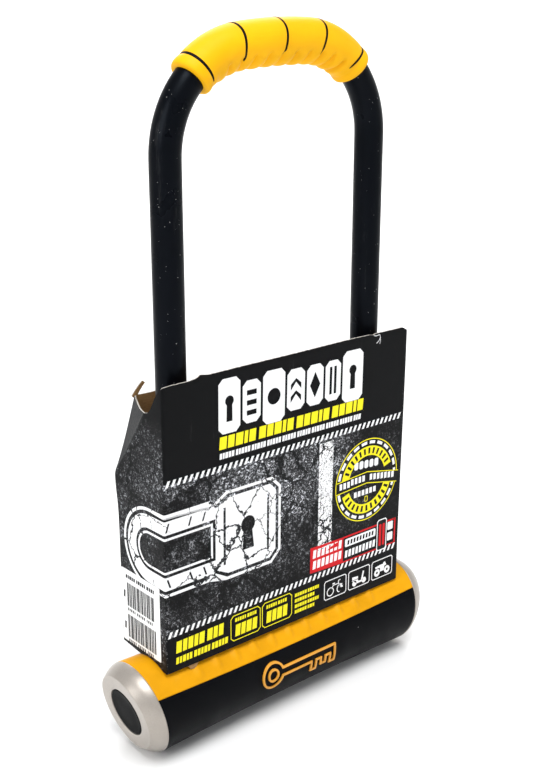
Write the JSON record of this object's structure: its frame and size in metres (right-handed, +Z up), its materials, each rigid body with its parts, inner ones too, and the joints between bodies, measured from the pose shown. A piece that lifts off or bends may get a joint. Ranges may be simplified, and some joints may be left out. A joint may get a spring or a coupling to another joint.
{
  "type": "u lock",
  "caption": "Long-shackle bicycle u lock with coated steel bar, moulded grip, waisted crossbar, key cylinder, two bolts and a cardboard sleeve.",
  "frame": {"origin": "the point of the floor under the middle of the crossbar", "axes": "+Z up along the shackle's legs, +X along the crossbar, -Y is the front with the emblem"},
  "size_m": [0.204, 0.0494, 0.3587],
  "materials": {
    "hardened_steel": "satin",
    "vinyl_black": "satin",
    "grip_yellow": "soft matt",
    "inlay_black": "matt",
    "cover_black": "fine matt",
    "cover_yellow": "fine matt",
    "cap_silver": "satin metallic paint",
    "plug_rubber": "matt",
    "emblem_orange": "satin",
    "brass": "machined",
    "zinc": "cast",
    "nylon": "natural",
    "spring_steel": "ground",
    "bezel_black": "semi-gloss",
    "card": "printed outside, kraft inside"
  },
  "bodies": {
    "crossbar": {"crossbar_tube": "hardened_steel", "crossbar_jacket": "cover_black", "top_insert": "cover_yellow", "end_cap_right": "cap_silver", "end_cap_left": "cap_silver", "end_plug_right": "plug_rubber", "end_plug_left": "plug_rubber", "end_cap_pins": "spring_steel", "leg_bush_right": "zinc", "leg_bush_left": "zinc", "leg_seal_right": "plug_rubber", "leg_seal_left": "plug_rubber", "foot_pad_right": "nylon", "foot_pad_left": "nylon", "bolt_guide_right": "zinc", "bolt_guide_left": "zinc", "cylinder_housing": "brass", "cylinder_pins": "spring_steel", "drill_guard": "hardened_steel", "keyway_bezel": "bezel_black", "front_emblem": "emblem_orange"},
    "key_plug": {"cylinder_plug": "brass", "tumbler_discs": "brass", "disc_washers": "spring_steel", "side_bar": "spring_steel", "drive_cam": "hardened_steel", "cam_screw": "spring_steel"},
    "bolt_right": {"locking_bolt_right": "hardened_steel", "drive_pin_right": "spring_steel"},
    "bolt_left": {"locking_bolt_left": "hardened_steel", "drive_pin_left": "spring_steel"},
    "shutter": {"dust_shutter": "bezel_black"},
    "shackle": {"shackle_bar": "hardened_steel", "shackle_coating": "vinyl_black", "shackle_grip": "grip_yellow", "grip_inlays": "inlay_black"},
    "sleeve": {"card_sleeve": "card", "card_base": "card"}
  },
  "joints": [
    {"name": "shackle_lift", "type": "slide", "parent": "crossbar", "child": "shackle", "axis": [0, 0, 1], "range_m": [0, 0.06]},
    {"name": "key_turn", "type": "hinge", "parent": "crossbar", "child": "key_plug", "pos_m": [0, 0, 0.0247], "axis": [0, 0, 1], "range_deg": [0, 90]},
    {"name": "bolt_right_slide", "type": "slide", "parent": "crossbar", "child": "bolt_right", "axis": [1, 0, 0], "range_m": [0, 0.006]},
    {"name": "bolt_left_slide", "type": "slide", "parent": "crossbar", "child": "bolt_left", "axis": [-1, 0, 0], "range_m": [0, 0.006]},
    {"name": "shutter_slide", "type": "slide", "parent": "crossbar", "child": "shutter", "axis": [1, 0, 0], "range_m": [0, 0.012]},
    {"name": "sleeve_lift", "type": "slide", "parent": "crossbar", "child": "sleeve", "axis": [0, 0, 1], "range_m": [0, 0.09]}
  ],
  "couplings": [
    {"joint": "bolt_right_slide", "follows": "key_turn", "m_per_rad": 0.0038197},
    {"joint": "bolt_left_slide", "follows": "key_turn", "m_per_rad": 0.0038197}
  ]
}
